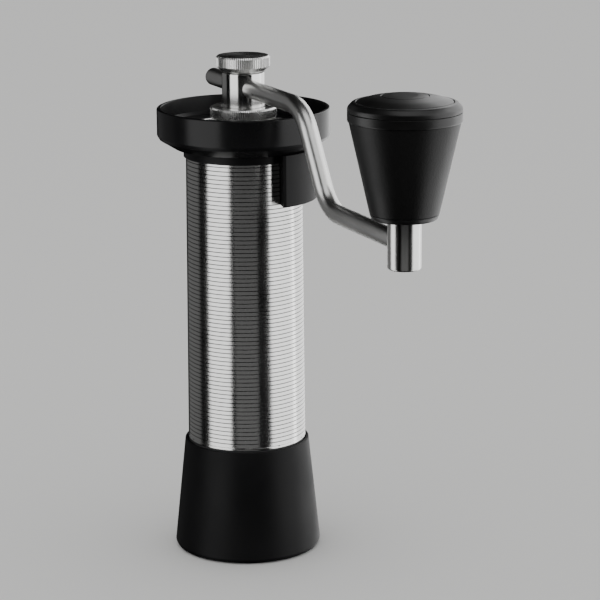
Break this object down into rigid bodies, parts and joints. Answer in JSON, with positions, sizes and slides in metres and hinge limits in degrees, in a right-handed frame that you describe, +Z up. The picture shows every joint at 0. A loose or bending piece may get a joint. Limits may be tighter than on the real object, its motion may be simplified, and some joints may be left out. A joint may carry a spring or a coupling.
{
  "type": "hand coffee grinder",
  "caption": "Hand coffee grinder: ribbed steel barrel with conical burrs, black hopper ring with thumb rest, clamped bar crank with tapered knob, and a magnetic catch cup.",
  "frame": {"origin": "centre of the cup's flat foot, on the table", "axes": "+Z up along the barrel, +X towards the crank's knob at rest, +Y to the left of the crank"},
  "size_m": [0.2191, 0.0774, 0.2314],
  "materials": {
    "ribbed_steel": "turned, satin",
    "black_collar": "satin black",
    "hopper_black": "satin black",
    "black_rubber": "matt",
    "bridge_metal": "machined",
    "race_steel": "ground",
    "ball_steel": "polished",
    "cage_brass": "pressed",
    "burr_steel": "cut",
    "inner_steel": "turned",
    "spring_steel": "drawn wire",
    "magnet_nickel": "nickel plated",
    "dial_steel": "knurled",
    "hub_steel": "polished",
    "bar_steel": "polished",
    "screw_steel": "knurled",
    "dark_screw": "blackened",
    "bush_brass": "sintered",
    "knob_black": "fine grain",
    "knob_cap_black": "satin",
    "cup_black": "satin black",
    "magnet_holder": "moulded"
  },
  "bodies": {
    "housing": {"body_tube": "ribbed_steel", "hopper_rim": "hopper_black", "hopper_funnel": "hopper_black", "thumb_collar": "black_collar", "collar_o_ring": "black_rubber", "upper_bridge": "bridge_metal", "upper_outer_race": "race_steel", "upper_bearing_seals": "black_rubber", "lower_bridge": "bridge_metal", "lower_outer_race": "race_steel", "lower_bearing_seals": "black_rubber", "ring_burr": "burr_steel", "burr_lock_ring": "inner_steel", "magnet_ring": "magnet_holder", "ring_magnets": "magnet_nickel"},
    "cup": {"catch_cup": "cup_black", "cup_magnets": "magnet_nickel", "cup_foot": "black_rubber"},
    "rotor": {"upper_inner_race": "race_steel", "lower_inner_race": "race_steel", "dial_washer": "cage_brass", "spring_seat_washer": "inner_steel"},
    "upper_balls": {"upper_bearing_balls": "ball_steel", "upper_ball_cage": "cage_brass"},
    "lower_balls": {"lower_bearing_balls": "ball_steel", "lower_ball_cage": "cage_brass"},
    "dial": {"grind_dial": "dial_steel"},
    "axle_set": {"axle": "inner_steel", "burr_spring": "spring_steel", "cone_burr": "burr_steel", "burr_washer": "inner_steel", "burr_nut": "inner_steel", "crank_hub": "hub_steel", "hub_grub_screw": "dark_screw"},
    "crank": {"crank_bar": "bar_steel", "knob_post": "hub_steel", "knob_washer": "inner_steel", "knob_screw": "inner_steel"},
    "knob": {"knob_core": "knob_black", "knob_grip": "knob_black", "knob_cap": "knob_cap_black", "knob_lower_bush": "bush_brass", "knob_upper_bush": "bush_brass"},
    "screw_seat": {"thumb_screw_washer": "inner_steel"},
    "screw": {"thumb_screw": "screw_steel"}
  },
  "joints": [
    {"name": "cup_pull", "type": "slide", "parent": "cup", "child": "housing", "axis": [0, 0, 1], "range_m": [0, 0.06]},
    {"name": "crank_spin", "type": "hinge", "parent": "housing", "child": "rotor", "pos_m": [0, 0, 0.1], "axis": [0, 0, 1], "continuous": true},
    {"name": "upper_bearing_roll", "type": "hinge", "parent": "housing", "child": "upper_balls", "pos_m": [0, 0, 0.193], "axis": [0, 0, 1], "continuous": true},
    {"name": "lower_bearing_roll", "type": "hinge", "parent": "housing", "child": "lower_balls", "pos_m": [0, 0, 0.1075], "axis": [0, 0, 1], "continuous": true},
    {"name": "dial_turn", "type": "hinge", "parent": "rotor", "child": "dial", "pos_m": [0, 0, 0.2], "axis": [0, 0, 1], "range_deg": [-91, 451]},
    {"name": "burr_gap", "type": "slide", "parent": "rotor", "child": "axle_set", "axis": [0, 0, 1], "range_m": [-0.00125, 0.00025], "deforming": ["burr_spring"]},
    {"name": "bar_slide", "type": "slide", "parent": "axle_set", "child": "crank", "axis": [1, 0, 0], "range_m": [-0.02, 0.05]},
    {"name": "knob_spin", "type": "hinge", "parent": "crank", "child": "knob", "pos_m": [0.158, 0, 0.2], "axis": [0, 0, 1], "continuous": true},
    {"name": "screw_rise", "type": "slide", "parent": "axle_set", "child": "screw_seat", "axis": [0, 0, 1], "range_m": [0, 0.003]},
    {"name": "screw_turn", "type": "hinge", "parent": "screw_seat", "child": "screw", "pos_m": [0, 0, 0.22], "axis": [0, 0, 1], "range_deg": [0, 1081]}
  ],
  "couplings": [
    {"joint": "upper_bearing_roll", "follows": "crank_spin", "ratio": 0.37171},
    {"joint": "lower_bearing_roll", "follows": "crank_spin", "ratio": 0.37171},
    {"joint": "dial_turn", "follows": "burr_gap", "rad_per_m": -6283.2},
    {"joint": "screw_turn", "follows": "screw_rise", "rad_per_m": 6283.2}
  ]
}
